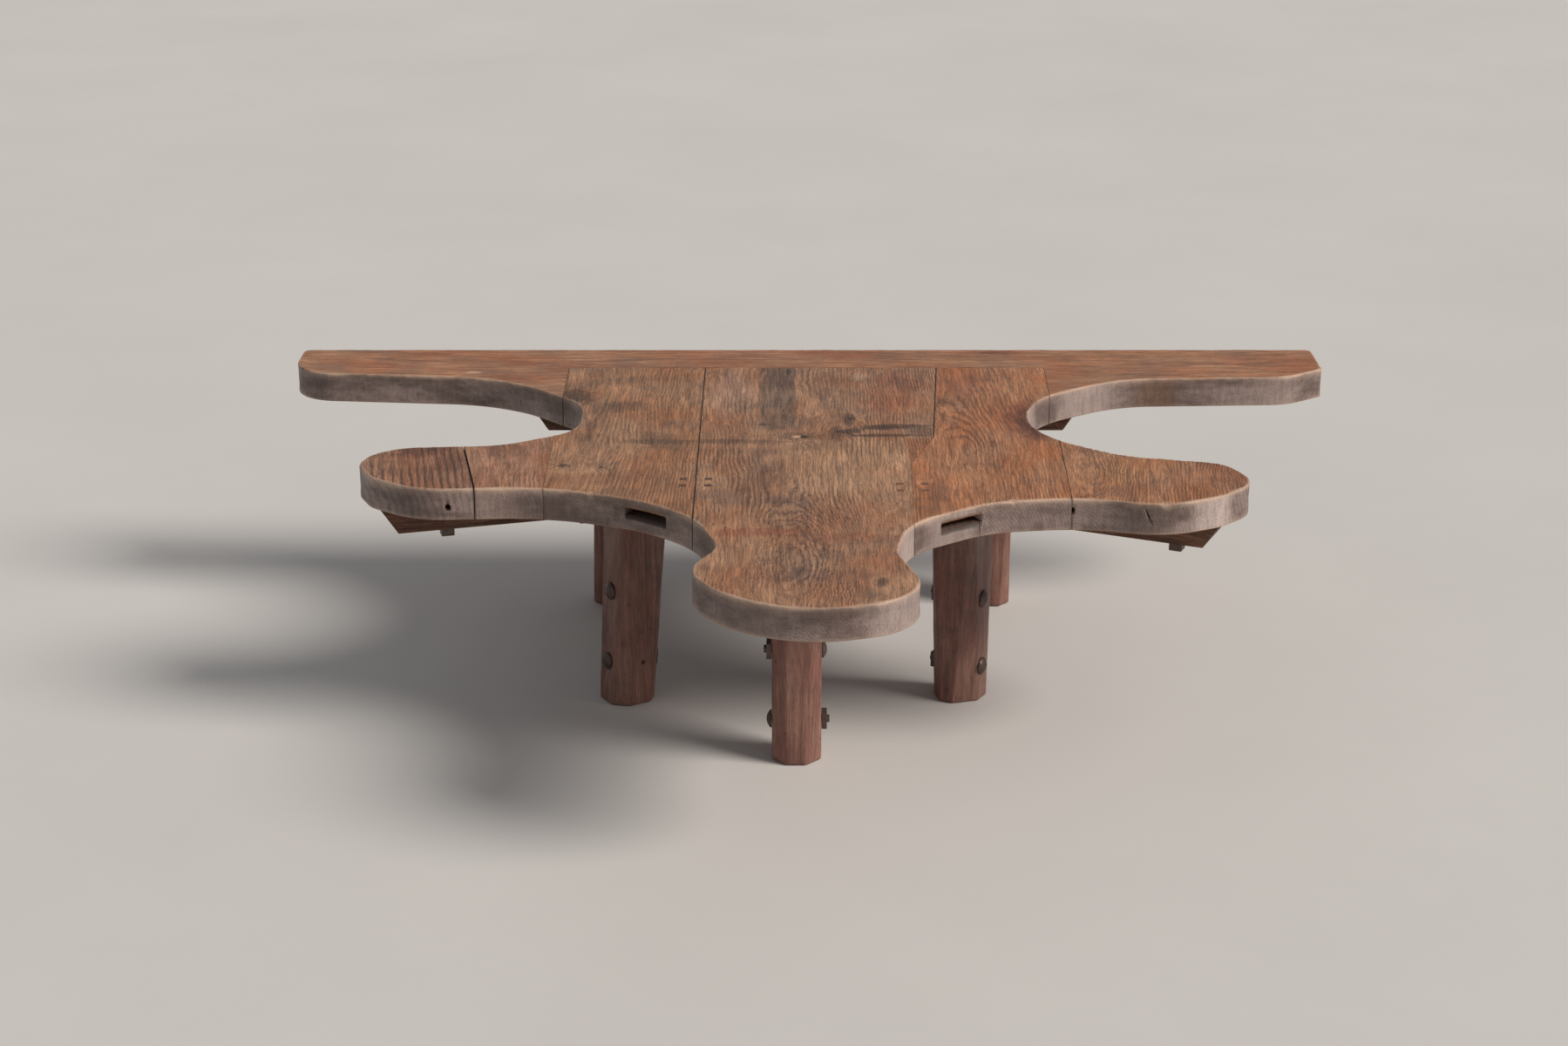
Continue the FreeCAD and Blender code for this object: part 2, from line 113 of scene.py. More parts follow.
# Slab boards
# Thick old softwood boards, edge-joined and sawn to the lobed outline by hand. Years
# of sleeves and tools have rounded the upper arris and greyed the edges. Each board
# follows the outline of its CAD board and gets its own worn arris and uneven edge.
BOARDS = ("back_plank", "wing_left", "wing_right", "board_left_outer", "board_left_lobe",
          "board_left", "board_centre", "board_right", "board_right_outer")
TOP = 0.4148  # 0.2 mm of wear under the CAD board
UNDERSIDE = 0.365
FOOT_RADIUS = 0.0015  # of the lower arris
SAME_PLACE = 1e-6  # corners of triangles nearer than this are one
SPACING = 0.003  # between the points along an outline
SEAM_REACH = 0.0018  # a neighbour nearer than this is joined at a seam
CAP_CORNERS = 200  # a face with more corners is the top or the underside of a board
SEAM_WEAR = {  # radius of the arris on each side of a seam, behind the middle of the table and before it
    ("board_left_outer", "board_left_lobe"): (0.0009, 0.0009),
    ("board_left_lobe", "board_left"): (0.0003, 0.0003),
    ("board_left", "board_centre"): (0.0009, 0.0009),
    ("board_centre", "board_right"): (0.0009, 0.0002),
    ("board_right", "board_right_outer"): (0.0005, 0.0006),
    ("back_plank", "board_left"): (0.0005, 0.0005),
    ("back_plank", "board_centre"): (0.0006, 0.0006),
    ("back_plank", "board_right"): (0.0006, 0.0006),
    ("wing_left", "board_left"): (0.0005, 0.0005),
    ("wing_right", "board_right"): (0.0004, 0.0004),
}
OTHER_SEAM_WEAR = (0.0002, 0.0002)


def top_outline(node):
    """The outline of a CAD node's top face, counter-clockwise, as an array of x and y.

    The triangles of the top are found by their height; the sides that only one of
    them uses are chained into loops, and the longest loop is the outline.
    """
    mesh = bmesh.new()
    mesh.from_mesh(node.data)
    bmesh.ops.remove_doubles(mesh, verts=mesh.verts, dist=SAME_PLACE)
    mesh.verts.ensure_lookup_table()
    mesh.verts.index_update()
    height = max(v.co.z for v in mesh.verts)
    used = set()
    for face in mesh.faces:
        if min(v.co.z for v in face.verts) > height - 1e-5:
            used.update((loop.vert.index, loop.link_loop_next.vert.index) for loop in face.loops)
    follow = {a: b for a, b in used if (b, a) not in used}
    loops = []
    while follow:
        start, nxt = follow.popitem()
        chain = [start]
        while nxt != start:
            chain.append(nxt)
            nxt = follow.pop(nxt)
        loops.append(np.array([mesh.verts[i].co[:2] for i in chain]))
    mesh.free()
    return max(loops, key=lambda line: np.linalg.norm(line - np.roll(line, -1, 0), axis=1).sum())


def smooth_sides(line, step):
    """The sides of a loop between its sharp corners, each an array of points with both ends.

    Runs over 40 mm are straight, and a turn over 25 degrees is a corner. The short
    runs are cubic curves: at each point they follow the straight run that ends
    there, or else the chord of the two neighbours.
    """
    ahead = np.roll(line, -1, 0) - line
    length = np.linalg.norm(ahead, axis=1)[:, None]
    back = np.roll(ahead, 1, 0)
    turn = np.arctan2(back[:, 0] * ahead[:, 1] - back[:, 1] * ahead[:, 0], (back * ahead).sum(1))
    straight = length[:, 0] > 0.04
    corners = np.flatnonzero(np.abs(turn) > math.radians(25))
    chord = np.where(straight[:, None], ahead, np.where(np.roll(straight, 1)[:, None], back, ahead + back))
    chord /= np.linalg.norm(chord, axis=1)[:, None]
    sides = []
    for first, last in zip(corners, np.append(corners[1:], corners[0] + len(line))):
        points = []
        for i in range(first, last):
            i, j = i % len(line), (i + 1) % len(line)
            start = ahead[i] if i in corners or straight[i] else chord[i] * length[i]
            end = ahead[i] if j in corners or straight[i] else chord[j] * length[i]
            t = (np.arange(max(1, round(length[i, 0] / step))) / max(1, round(length[i, 0] / step)))[:, None]
            points.append(line[i] * (2 * t ** 3 - 3 * t ** 2 + 1) + start * (t ** 3 - 2 * t ** 2 + t)
                          + line[j] * (3 * t ** 2 - 2 * t ** 3) + end * (t ** 3 - t ** 2))
        points.append(line[[last % len(line)]])
        sides.append(np.concatenate(points))
    return sides


def nearest_board(points, name):
    """Distance from each point to the nearest other board, and how worn the seam to it is.

    The distance is that to the nearest place on any side of the other outlines. The
    wear is the radius of the arris on each side of the seam, in metres. Each pair of
    boards has one for the part behind the middle of the table and one before it, and
    one turns into the other from 90 to 150 mm behind the middle.
    """
    best, wear = np.full(len(points), 9.0), np.zeros(len(points))
    for other, line in outlines.items():
        if other != name:
            run = np.roll(line, -1, 0) - line
            off = points[:, None] - line[None]
            t = np.clip((off * run).sum(2) / np.maximum((run * run).sum(1), 1e-12), 0, 1)
            distance = np.linalg.norm(off - run[None] * t[..., None], axis=2).min(1)
            behind, before = SEAM_WEAR.get((name, other), SEAM_WEAR.get((other, name), OTHER_SEAM_WEAR))
            share = np.clip((points[:, 1] - 0.09) / 0.06, 0, 1)
            wear = np.where(distance < best, before + (behind - before) * share, wear)
            best = np.minimum(best, distance)
    return best, wear


def uneven(x, y, size, phase=0.0):
    """A smooth field between -1 and 1 with bumps of about the given size.

    Four sine waves that run in different directions are multiplied in pairs.
    """
    k = 2 * math.pi / size
    a = np.sin(k * (0.83 * x + 0.31 * y) + phase) * np.sin(k * (-0.27 * x + 0.71 * y) + 1.7 + phase)
    b = np.sin(k * (1.61 * x - 0.93 * y) + 0.6) * np.sin(k * (0.77 * x + 1.43 * y) + 2.9 * phase)
    return 0.62 * a + 0.38 * b


def closed_bands(rows, columns):
    """The four-sided faces of a grid whose last column joins its first."""
    r, c = np.meshgrid(np.arange(rows - 1), np.arange(columns), indexing="ij")
    n = (c + 1) % columns
    here, below = r * columns, (r + 1) * columns
    return np.stack([here + c, below + c, below + n, here + n], -1).reshape(-1, 4)


def closed_piece(name, grid, arris=None):
    """A closed object from a grid of points, rows from top to bottom, with a flat cap at each end.

    The arris values say how near each point is to a worn edge, up to 1, or into a soiled
    seam, down to -1.
    """
    rows, columns = grid.shape[:2]
    faces = closed_bands(rows, columns).tolist()
    caps = [list(range(columns)), list(range(rows * columns - 1, (rows - 1) * columns - 1, -1))]
    mesh = bpy.data.meshes.new(name)
    mesh.from_pydata(grid.reshape(-1, 3).tolist(), [], faces + caps)
    mesh.polygons.foreach_set("use_smooth", [True] * len(faces) + [False, False])
    if arris is not None:
        mesh.attributes.new("arris", "FLOAT", "POINT").data.foreach_set("value", arris.ravel())
    piece = bpy.data.objects.new(name, mesh)
    scene.collection.objects.link(piece)
    return piece


def worn_board(name, wear, nicks, rough):
    """A board whose upper arris is rounded by wear and whose sawn edge is a little uneven.

    A profile of inset and height is carried round the outline: a quarter circle at the
    top, the sawn wall, and a small quarter circle at the bottom. The radius of the top
    grows and shrinks along the way and is wide at each nick, given as x, y and size,
    and it is chipped where it is rough, given as x, y, reach and depth of the chips.
    At a corner both sides' insets meet in a mitre, and points nearer to the corner
    than the mitre slide back to it along their side.
    """
    quarter = np.radians(np.linspace(0, 90, 7))
    grids, marks = [], []
    sides = smooth_sides(outlines[name], SPACING)
    profiles = []
    for line in sides:
        x, y = line.T
        distance, seam_wear = nearest_board(line, name)
        # a side is a seam or a free edge, or it turns from one into the other over 4 mm
        joined = (distance < SEAM_REACH).mean()
        free = np.full(len(x), float(joined < 0.5))
        if 0.2 < joined < 0.8:
            free = np.clip((distance - SEAM_REACH) / 0.004, 0, 1)
        # the radius waves over 100 and 26 mm, is chipped and nicked, and comes back to its mean
        # over the last 14 mm before a corner
        radius = wear * (1 + 0.4 * uneven(x, y, 0.10) + 0.28 * uneven(x, y, 0.026, 1.0))
        for place_x, place_y, reach, amount in rough:
            around = np.exp(-((x - place_x) ** 2 + (y - place_y) ** 2) / reach ** 2)
            radius = radius + amount * around * np.maximum(uneven(x, y, 0.017, 2.0), -0.2)
        for nick_x, nick_y, size in nicks:
            radius = radius + size * 0.8 * np.exp(-((x - nick_x) ** 2 + (y - nick_y) ** 2) / size ** 2)
        from_end = np.minimum(np.arange(len(x)), np.arange(len(x))[::-1]) * SPACING
        radius += (wear - radius) * np.exp(-(from_end / 0.014) ** 2)
        radius = seam_wear + (np.maximum(radius, 0.001) - seam_wear) * free
        # rows from the top down, each with its inset, its height and its arris value: a row
        # on the flat top, the upper arris, the sawn wall and the lower arris
        insets = [radius * 1.6] + [radius * (1 - math.sin(a)) for a in quarter]
        heights = [radius * 0] + [-radius * (1 - math.cos(a)) for a in quarter]
        near_arris = [0.0, 0.45] + [1.0] * 5 + [0.7]
        for share in (0.1, 0.28, 0.5, 0.72, 0.9):
            # a free wall is sawn a little hollow, by up to 1.2 mm
            height = -radius - (TOP - UNDERSIDE - radius - FOOT_RADIUS) * share
            sawn = 0.0006 * (1 + uneven(x + height * 2, y - height * 3, 0.06)) * free
            insets.append(sawn * math.sin(share * math.pi))
            heights.append(height)
            near_arris.append(0.2 if share < 0.2 else 0.0)
        for a in quarter[::2]:
            insets.append(np.full(len(x), FOOT_RADIUS * (1 - math.cos(a))))
            heights.append(np.full(len(x), UNDERSIDE - TOP + FOOT_RADIUS * (1 - math.sin(a))))
            near_arris.append(0.4)
        dirty = np.array([0.0, 0.6] + [1.0] * (len(insets) - 2))
        marked = np.outer(near_arris, free) - np.outer(dirty, (1 - free) * np.clip(seam_wear / 0.001, 0.2, 1))
        profiles.append((np.array(insets), np.array(heights), marked))
    for k, line in enumerate(sides):
        insets, heights, near_arris = profiles[k]
        before, after = sides[k - 1], sides[(k + 1) % len(sides)]
        along = np.gradient(line, axis=0)
        along /= np.linalg.norm(along, axis=1)[:, None]
        outward = np.stack([along[:, 1], -along[:, 0]], 1)
        steps = np.linalg.norm(np.diff(line, axis=0), axis=1)
        from_start = np.concatenate([[0], np.cumsum(steps)])
        # at both ends of the side: the angle of the corner, how far along the side the mitre
        # reaches there, and how far the points nearer than that slide along, with a margin
        # that keeps them apart
        shift = np.zeros(insets.shape)
        for other, mine, other_inset, travelled, sign in (
                (before[-2] - before[-1], line[1] - line[0], profiles[k - 1][0][:, -1:], from_start, 1),
                (after[1] - after[0], line[-2] - line[-1], profiles[(k + 1) % len(sides)][0][:, :1],
                 from_start[-1] - from_start, -1)):
            cross = mine[0] * other[1] - mine[1] * other[0]
            inside = math.atan2(sign * cross, mine @ other) % (2 * math.pi)
            own_inset = insets[:, :1] if sign > 0 else insets[:, -1:]
            reach = (other_inset + own_inset * math.cos(inside)) / math.sin(inside)
            margin = np.where(travelled > 0, 0.2 * reach, 0.0) + 0.05 * travelled
            shift += sign * np.maximum(reach + margin - travelled, 0) if inside < math.pi else 0.0
        grid = np.empty(insets.shape + (3,))
        grid[..., :2] = line - outward * insets[..., None] + along * shift[..., None]
        grid[..., 2] = TOP + heights
        grids.append(grid[:, :-1])
        marks.append(near_arris[:, :-1])
    return closed_piece(name + "_worn", np.concatenate(grids, 1), np.concatenate(marks, 1))


def cutter(section, rows, turn, place):
    """A closed cutting tool: a loop of points across, carried along X through rows.

    Each row is how far in it lies and how much it widens the loop, in metres. The tool
    is then turned about the vertical and put in its place.
    """
    section = section[::-1]
    size = np.linalg.norm(section, axis=1)[:, None]
    grid = np.array([np.column_stack([np.full(len(section), depth), section * (1 + swell / size)])
                     for depth, swell in rows])
    cos, sin = math.cos(math.radians(turn)), math.sin(math.radians(turn))
    return closed_piece("cutter", grid @ np.array([(cos, sin, 0), (-sin, cos, 0), (0, 0, 1)]) + place)


def bore(piece, tools):
    """Cuts the tools out of a piece and deletes the tools.

    The faces that a cut runs through become triangles, apart from the large flat caps,
    so that no edge is shared by more than two faces.
    """
    for tool in tools:
        cut = piece.modifiers.new("cut", "BOOLEAN")
        cut.operation = "DIFFERENCE"
        cut.object = tool
    shaped = bpy.data.meshes.new_from_object(piece.evaluated_get(bpy.context.evaluated_depsgraph_get()))
    piece.modifiers.clear()
    mesh = bmesh.new()
    mesh.from_mesh(shaped)
    cut_through = [face for face in mesh.faces if 4 < len(face.verts) < CAP_CORNERS]
    bmesh.ops.triangulate(mesh, faces=cut_through, ngon_method="BEAUTY")
    mesh.to_mesh(shaped)
    mesh.free()
    old, piece.data = piece.data, shaped
    bpy.data.meshes.remove(old)
    shaped.name = piece.name
    for tool in tools:
        bpy.data.meshes.remove(tool.data)


# a ring of radius 1, and the mouth of a mortise, 78 by 12 mm with corners of 2 mm
round_of = np.radians(np.arange(0, 360, 18))
unit_ring = np.column_stack([np.cos(round_of), np.sin(round_of)])
mouth = np.array([(x * 0.037 + 0.002 * math.cos(a), z * 0.004 + 0.002 * math.sin(a))
                  for x, z, start in ((1, 1, 0), (-1, 1, 90), (-1, -1, 180), (1, -1, 270))
                  for a in np.radians(np.arange(start, start + 91, 22.5))])


def edge_hole(x, y, height, turn):
    """An old bored hole of 9 mm in the edge, 35 mm deep, its mouth worn to a funnel."""
    return cutter(unit_ring * 0.0045, [(-0.008, 0.0022), (-0.0005, 0.0022), (0.002, 0.0), (0.035, 0.0)],
                  turn, (x, y, height))


def split(x, y, height, turn, lean, length):
    """A drying split in the edge: a thin diamond 2.2 mm wide, leaning to one side, 30 mm deep."""
    up = np.array([math.sin(math.radians(lean)), math.cos(math.radians(lean))])
    across = np.array([up[1], -up[0]]) * 0.0011
    diamond = np.array([across, up * length / 2, -across, -up * length / 2])
    return cutter(diamond, [(-0.006, 0.0), (0.030, 0.0)], turn, (x, y, height))


def nail_hole(x, y, size):
    """A nail hole straight down from the top, 8 mm deep, its mouth a little worn."""
    across = np.column_stack([unit_ring[:, 0] * size, unit_ring[:, 1] * size])
    grid = np.array([np.column_stack([across * swell + (x, y), np.full(len(across), TOP + rise)])
                     for rise, swell in ((0.004, 1.6), (0.0, 1.5), (-0.0012, 1.0), (-0.008, 0.8))])
    return closed_piece("cutter", grid)


def mortise(x, y, turn):
    """A flat mortise for a work peg, 50 mm deep into the edge and 21 mm below the top."""
    return cutter(mouth, [(-0.02, 0.0), (0.05, 0.0)], turn, (x, y, 0.394))


def old_wood(name, grain, tones, rings=6.5, lines=0.5, streaks=1.0, marks=(), edges=None, relief=0.6,
             gloss=0.55):
    """Old dry wood with its growth rings, fibres, knots and stains, as a solid pattern.

    The rings are cylinders round the pith of the tree, bent by slow noise. grain gives
    x, y and z of the pith in millimetres, the turn of the fibres from Y about the
    vertical, and how steeply the pith dips, in degrees, which draws the nested arches
    of flat-sawn boards. tones are the pale, the warm and the dull colour and that of
    the autumn lines. rings is the ring width in millimetres and lines their strength;
    streaks is that of the fibres between them.
    A mark is its kind, x, y, half width, half length, turn, amount and colour. A stain
    has soaked in and is ragged; a print has straight sides, left by something that
    stood there; an edge is a patch on the sawn side that hands have worn or soiled,
    and most edge patches are painted light, the pale grey-pink ones a painted highlight
    where light falls on the edge and the dark ones painted shade; their amount is their
    strength. The amount of a knot is how far it pushes the rings out, in millimetres,
    and its colour is that of its heart. An oval draws them in, as where a hump of the
    trunk was cut through, and has no heart.
    edges are the two tones of the sawn sides, which hands and dust have greyed; none
    for a piece that has no such sides. Old oil leaves the wood satin, with a little
    relief because the soft spring wood has worn away between the autumn lines; gloss is
    the mean roughness.
    """
    material = bpy.data.materials.new(name)
    material.use_nodes = True
    tree = material.node_tree
    shader = tree.nodes["Principled BSDF"]
    place = add(tree, "TexCoord", {}, "Object")
    pith_x, pith_y, pith_z, turn, dip = grain
    pale, warm, dull, autumn = [linear(tone) for tone in tones]

    # millimetres from the pith: x across, y along the fibres
    own = add(tree, "Mapping", {
        "Vector": place, "Location": (pith_x / 1000, pith_y / 1000, pith_z / 1000),
        "Rotation": (math.radians(dip), 0.0, math.radians(turn)), "Scale": (0.001, 0.001, 0.001)},
        vector_type="TEXTURE")
    # the trunk bends over 120 to 400 mm, its rings ripple over 30 to 90 mm, and each line
    # of a ring is crinkled over 8 to 20 mm; the amounts are the whole range in millimetres
    bent = own
    for size, amount in (((0.008, 0.0025, 0.008), 34.0), ((0.034, 0.011, 0.034), 4.5),
                         ((0.13, 0.05, 0.13), 3.2)):
        at = add(tree, "Mapping", {"Vector": own, "Scale": size})
        wave = add(tree, "TexNoise", {"Vector": at, "Scale": 1.0, "Detail": 2.5}, "Color")
        bent = add(tree, "VectorMath", [wave, (amount, 0.0, amount), bent], operation="MULTIPLY_ADD")
    across = add(tree, "VectorMath", [bent, (1.0, 0.0, 1.0)], operation="MULTIPLY")
    radius = add(tree, "VectorMath", [across], "Value", operation="LENGTH")

    # how deep each place lies in each mark, with a rim that is broken up along the mark
    soaked, hearts, edge_sheen_shade_and_soil, figured = [], [], [], 0.0
    for kind, x, y, half_width, half_length, angle, amount, tint in marks:
        at = add(tree, "Mapping", {
            "Vector": place, "Location": (x / 1000, y / 1000, 0.4),
            "Rotation": (0.0, 0.0, math.radians(angle)),
            "Scale": (half_width / 1000, half_length / 1000, 0.2)}, vector_type="TEXTURE")
        away = add(tree, "VectorMath", [at], "Value", operation="LENGTH")
        if kind == "print":
            folded = add(tree, "VectorMath", [at], operation="ABSOLUTE")
            sides = add(tree, "SeparateXYZ", [folded]).node.outputs
            away = add(tree, "Math", [sides[0], sides[1]], operation="MAXIMUM")
        ragged = {"stain": 1.6, "print": 0.35, "knot": 0.4, "oval": 0.7, "edge": 1.0}[kind]
        broken = add(tree, "TexNoise", {"Vector": at, "Scale": 2.8, "Detail": 5.0, "Roughness": 0.7})
        reach = add(tree, "Math", [broken, ragged, away], operation="MULTIPLY_ADD")
        if kind in ("knot", "oval"):
            bell = add(tree, "MapRange", [reach, ragged / 2, 1.7 + ragged / 2, 1.0, 0.0],
                       interpolation_type="SMOOTHSTEP")
            radius = add(tree, "Math", [bell, amount, radius], operation="MULTIPLY_ADD")
            figured = add(tree, "Math", [bell, 0.35, figured], operation="MULTIPLY_ADD")
            rim, strength = (0.12, 0.34), 0.9
            if kind == "oval":
                continue
        else:
            rim, strength = ((0.85, 1.1) if kind == "print" else (0.45, 1.15)), amount
        depth = add(tree, "MapRange", [reach, rim[0] + ragged / 2, rim[1] + ragged / 2, strength, 0.0],
                    interpolation_type="SMOOTHSTEP")
        {"knot": hearts, "edge": edge_sheen_shade_and_soil}.get(kind, soaked).append((depth, linear(tint)))

    # each ring rises slowly through pale spring wood to a thin dark autumn line
    turns = add(tree, "Math", [radius, 1.0 / rings], operation="MULTIPLY")
    ring = add(tree, "ValToRGB", [add(tree, "Math", [turns], operation="FRACT")])
    ring.node.color_ramp.elements[0].color = (0.8, 0.8, 0.8, 1)
    ring.node.color_ramp.elements[1].color = (0.8, 0.8, 0.8, 1)
    for stop, value in ((0.14, 0.25), (0.35, 0.0), (0.62, 0.12), (0.86, 0.75), (0.94, 1.0)):
        ring.node.color_ramp.elements.new(stop).color = (value, value, value, 1)

    # fields of noise: bumps for each millimetre across, along and up, detail and
    # roughness, the range that is used, and the two values it is stretched to
    field = {}
    for what, size, detail, roughness, used in (
            # polishing has left the lines strong in some places and faint in others
            ("lines", (0.010, 0.005, 0.010), 4.0, 0.5, (0.40, 0.62, lines * 0.15, lines)),
            # old oil and bleaching in patches of 30 to 150 mm, and dirt in others
            ("oiled", (0.012, 0.0065, 0.012), 6.0, 0.6, (0.34, 0.66, 0.0, 1.0)),
            ("dulled", (0.009, 0.011, 0.009), 6.0, 0.68, (0.46, 0.68, 0.0, 0.7)),
            # fibres drawn 2.5 mm wide, coarser than real ones, so that they show, in bunches
            ("bunches", (0.085, 0.007, 0.085), 3.0, 0.6, (0.30, 0.70, 0.80, 1.18)),
            ("fibres", (0.42, 0.014, 0.42), 5.0, 0.7, (0.30, 0.68, 1 - 0.47 * streaks, 1 + 0.34 * streaks)),
            # short dark pores and scratches, drawn 1.5 by 15 mm so that they show
            ("pores", (0.62, 0.06, 0.62), 2.0, 0.5, (0.655, 0.73, 0.0, 0.55))):
        at = add(tree, "Mapping", {"Vector": bent, "Location": (7.3 * len(field), 0.0, 0.0), "Scale": size})
        raw = add(tree, "TexNoise", {"Vector": at, "Scale": 1.0, "Detail": detail, "Roughness": roughness})
        field[what] = add(tree, "MapRange", [raw, *used], interpolation_type="SMOOTHSTEP")
    shown = add(tree, "Math", [add(tree, "Math", [field["lines"], figured], operation="ADD"), ring],
                operation="MULTIPLY")
    # specks of dirt about 40 mm apart
    apart = add(tree, "TexVoronoi", {"Vector": own, "Scale": 0.027}, "Distance")
    speck = add(tree, "MapRange", [apart, 0.03, 0.07, 0.65, 0.0])

    colour = add(tree, "Mix", {"Factor": field["oiled"], "A": pale, "B": warm}, "Result", data_type="RGBA")
    for amount, tint in [(field["dulled"], dull)] + soaked + [(shown, autumn)]:
        colour = add(tree, "Mix", {"Factor": amount, "A": colour, "B": tint}, "Result", data_type="RGBA")
    for shade in (field["bunches"], field["fibres"]):
        colour = add(tree, "VectorMath", {"Vector": colour, "Scale": shade}, operation="SCALE")
    for amount, tint in hearts + [(field["pores"], linear("#2A1A12")), (speck, linear("#2C1C14"))]:
        colour = add(tree, "Mix", {"Factor": amount, "A": colour, "B": tint}, "Result", data_type="RGBA")
    height = add(tree, "Math", [shown, 0.5, field["fibres"]], operation="MULTIPLY_ADD")
    height = add(tree, "Math", [field["pores"], -1.2, height], operation="MULTIPLY_ADD")
    rough = add(tree, "MapRange", [field["oiled"], 0.0, 1.0, gloss - 0.06, gloss + 0.08])

    if edges:
        # sawn sides: greyed in blotches of 60 to 110 mm, with upright strokes of the saw and a
        # pitted nap of 2 to 3 mm
        upright = add(tree, "SeparateXYZ", [add(tree, "NewGeometry", {}, "Normal")], "Z")
        tilt = add(tree, "Math", [upright], operation="ABSOLUTE")
        side = add(tree, "MapRange", [tilt, 0.3, 0.75, 1.0, 0.0], interpolation_type="SMOOTHSTEP")
        for what, size, detail, used in (("grime", (9.0, 9.0, 26.0), 6.0, (0.34, 0.66, 0.0, 1.0)),
                                         ("saw", (150.0, 150.0, 34.0), 5.0, (0.32, 0.66, 0.84, 1.12)),
                                         ("nap", (420.0, 420.0, 420.0), 4.0, (0.30, 0.52, 0.72, 1.03))):
            at = add(tree, "Mapping", {"Vector": place, "Scale": size})
            raw = add(tree, "TexNoise", {"Vector": at, "Scale": 1.0, "Detail": detail, "Roughness": 0.64})
            field[what] = add(tree, "MapRange", [raw, *used], interpolation_type="SMOOTHSTEP")
        ringed = add(tree, "Math", [shown, 0.45], operation="MULTIPLY")
        face = linear(edges[0])
        # the edge patches mixed in here are mostly painted light: pale ones painted highlights, dark ones
        # painted shade
        for amount, tint in [(field["grime"], linear(edges[1])), (ringed, linear("#2E221C"))] + edge_sheen_shade_and_soil:
            face = add(tree, "Mix", {"Factor": amount, "A": face, "B": tint}, "Result", data_type="RGBA")
        for shade in (field["saw"], field["nap"]):
            face = add(tree, "VectorMath", {"Vector": face, "Scale": shade}, operation="SCALE")
        colour = add(tree, "Mix", {"Factor": side, "A": colour, "B": face}, "Result", data_type="RGBA")
        sawn = add(tree, "Math", [field["saw"], field["nap"]], operation="ADD")
        height = add(tree, "Mix", {"Factor": side, "A": height, "B": sawn}, "Result")
        # the arris is worn down to clean pale wood with a shine, and its pale colour is also a painted
        # highlight;
        # the seams are soiled dark, and the floors of the holes, 6 to 10 mm and more below the top, get
        # painted shade
        arris = add(tree, "Attribute", {}, "Fac", attribute_name="arris")
        worn_arris_and_highlight = add(tree, "MapRange", [field["grime"], 0.0, 1.0, 0.25, 0.95])
        outer = add(tree, "Math", [arris, 0.0], operation="MAXIMUM")
        worn_arris_and_highlight = add(tree, "Math", [outer, worn_arris_and_highlight], operation="MULTIPLY")
        # the upward floors of holes and mortises, 6 to 10 mm and more below the top, are darkened as painted
        # shade
        height_of = add(tree, "SeparateXYZ", [place], "Z")
        below = add(tree, "MapRange", [height_of, TOP - 0.010, TOP - 0.006, 1.0, 0.0])
        facing_up = add(tree, "MapRange", [upright, 0.1, 0.4, 0.0, 0.9])
        below = add(tree, "Math", [below, facing_up], operation="MULTIPLY")
        in_seam = add(tree, "MapRange", [arris, -1.0, 0.0, 0.95, 0.0])
        seam_dirt_and_hole_shade = add(tree, "Math", [in_seam, below], operation="MAXIMUM")
        # the pale colour is worn clean wood and a painted highlight along the arris; the dark one is soil in
        # the seams and painted shade on the hole floors
        for amount, tint in ((worn_arris_and_highlight, linear("#BFA28C")), (seam_dirt_and_hole_shade, linear("#1E130D"))):
            colour = add(tree, "Mix", {"Factor": amount, "A": colour, "B": tint}, "Result", data_type="RGBA")
        rough = add(tree, "Math", [worn_arris_and_highlight, -0.26, rough], operation="MULTIPLY_ADD")
    tree.links.new(colour, shader.inputs["Base Color"])
    tree.links.new(rough, shader.inputs["Roughness"])
    bump = add(tree, "Bump", {"Height": height, "Strength": relief, "Distance": 0.0009})
    tree.links.new(bump, shader.inputs["Normal"])
    return material


def lay_board(node, material, wear=0.0035, nicks=(), rough=(), tools=()):
    """Puts the worn board, with its holes cut, in place of its CAD node."""
    piece = worn_board(node, wear, nicks, rough)
    if tools:
        bore(piece, tools)
    piece.data.materials.clear()
    piece.data.materials.append(material)
    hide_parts(node)
    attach(piece, "root")


outlines = {name: top_outline(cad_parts[name]) for name in BOARDS}
edge_tones = ("#63514A", "#95817A")

plank = old_wood(
    "oiled_softwood_plank", (0, 560, 350, 90.0, 0.5), ("#A87A5A", "#9C6343", "#846451", "#5A382A"),
    rings=7.0, lines=0.4, edges=edge_tones, marks=(
        ("stain", -570, 491, 16, 8, 0, 0.8, "#C9A384"), ("stain", 330, 612, 46, 14, 0, 0.6, "#63392A"),
        ("stain", 560, 600, 150, 26, 4, 0.4, "#B4835C"), ("stain", -300, 600, 190, 26, -3, 0.4, "#A9795A"),
        ("stain", 60, 590, 240, 24, 2, 0.35, "#86543B"), ("stain", 620, 545, 120, 8, 3, 0.4, "#8A5637"),
        ("stain", -640, 560, 110, 12, -2, 0.4, "#8A5B40"), ("edge", 590, 425, 50, 60, 0, 0.75, "#755643"),
        # the two pale edge patches on the next line are painted highlights where light from the right falls
        # on the back edge
        ("edge", 470, 400, 80, 60, 0, 0.6, "#AD9A93"), ("edge", 800, 430, 70, 60, 0, 0.6, "#A79188")))
lay_board("back_plank", plank, wear=0.0028)
lay_board("wing_left", plank)
lay_board("wing_right", plank, nicks=((0.86, 0.42, 0.007), (0.70, 0.40, 0.005)),
          tools=[edge_hole(0.402, 0.343, TOP - 0.012, 143.0)])

